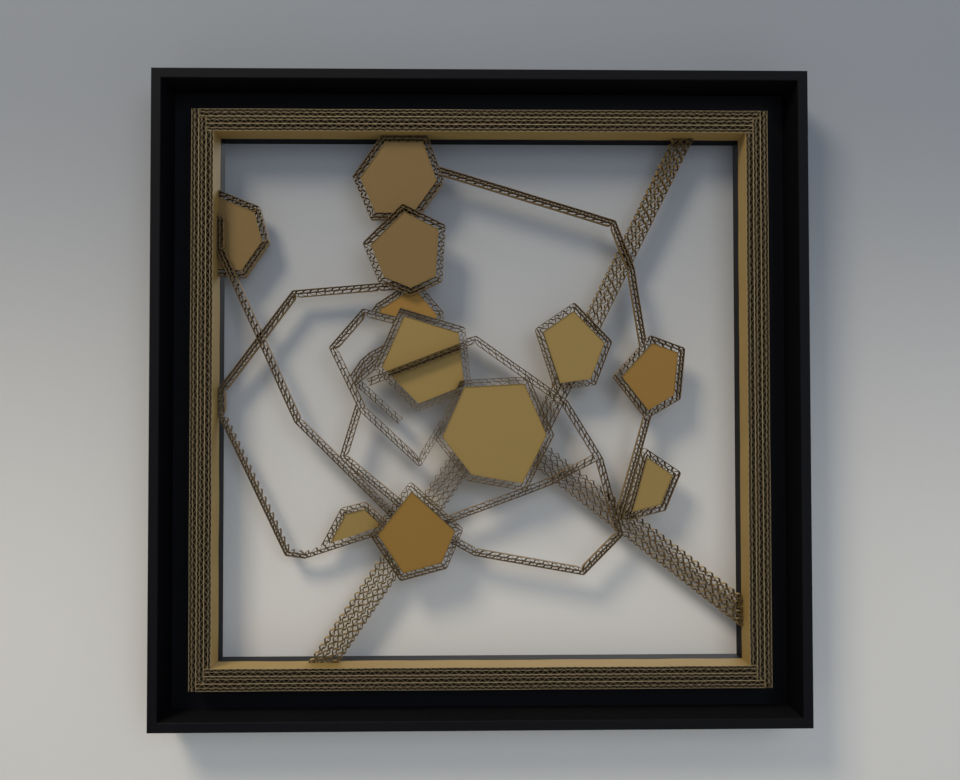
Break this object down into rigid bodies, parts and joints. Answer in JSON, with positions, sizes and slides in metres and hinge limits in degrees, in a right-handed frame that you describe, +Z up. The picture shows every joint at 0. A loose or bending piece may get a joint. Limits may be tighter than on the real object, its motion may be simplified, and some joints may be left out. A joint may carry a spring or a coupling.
{
  "type": "cardboard relief",
  "caption": "Wall-hung relief of folded corrugated strips, cells with kraft panels and fluted beams, inside a corrugated border in a black box frame with an open back.",
  "frame": {"origin": "midpoint between the two keyhole slots' entry holes, on the back face of the top rail, which lies against the wall", "axes": "+X to the viewer's right, +Y into the wall, +Z up; the relief faces -Y"},
  "size_m": [0.56, 0.0565, 0.56],
  "materials": {
    "black_paint": "wood under satin black paint",
    "corrugated_board": "matt brown kraft liners over brown fluting",
    "bare_fluting": "matt brown fluting paper without liners",
    "kraft_card": "matt golden kraft card"
  },
  "bodies": {
    "root": {"beam_lower_left": "bare_fluting", "beam_lower_right": "bare_fluting", "beam_upper": "bare_fluting", "border_bottom_inner": "corrugated_board", "border_bottom_middle": "corrugated_board", "border_bottom_outer": "corrugated_board", "border_left_inner": "corrugated_board", "border_left_middle": "corrugated_board", "border_left_outer": "corrugated_board", "border_right_inner": "corrugated_board", "border_right_middle": "corrugated_board", "border_right_outer": "corrugated_board", "border_top_inner": "corrugated_board", "border_top_middle": "corrugated_board", "border_top_outer": "corrugated_board", "cell_centre_right": "corrugated_board", "cell_crossed": "corrugated_board", "cell_left": "corrugated_board", "cell_lower": "corrugated_board", "cell_lower_left": "corrugated_board", "cell_lower_right": "corrugated_board", "cell_middle": "corrugated_board", "cell_right": "corrugated_board", "cell_top": "corrugated_board", "cell_tucked": "corrugated_board", "cell_upper": "corrugated_board", "frame_bottom": "black_paint", "frame_left": "black_paint", "frame_right": "black_paint", "frame_top": "black_paint", "panel_centre_right": "kraft_card", "panel_crossed": "kraft_card", "panel_left": "kraft_card", "panel_lower": "kraft_card", "panel_lower_left": "kraft_card", "panel_lower_right": "kraft_card", "panel_middle": "kraft_card", "panel_right": "kraft_card", "panel_top": "kraft_card", "panel_tucked": "kraft_card", "panel_upper": "kraft_card", "strip_arch": "corrugated_board", "strip_brace": "corrugated_board", "strip_cross": "corrugated_board", "strip_hook": "corrugated_board", "strip_inner": "corrugated_board", "strip_left": "corrugated_board", "strip_loop": "corrugated_board", "strip_lower_left": "corrugated_board", "strip_right": "corrugated_board", "strip_spur": "corrugated_board", "strip_tie": "corrugated_board", "strip_top": "corrugated_board", "strip_upper_left": "corrugated_board"}
  },
  "joints": []
}
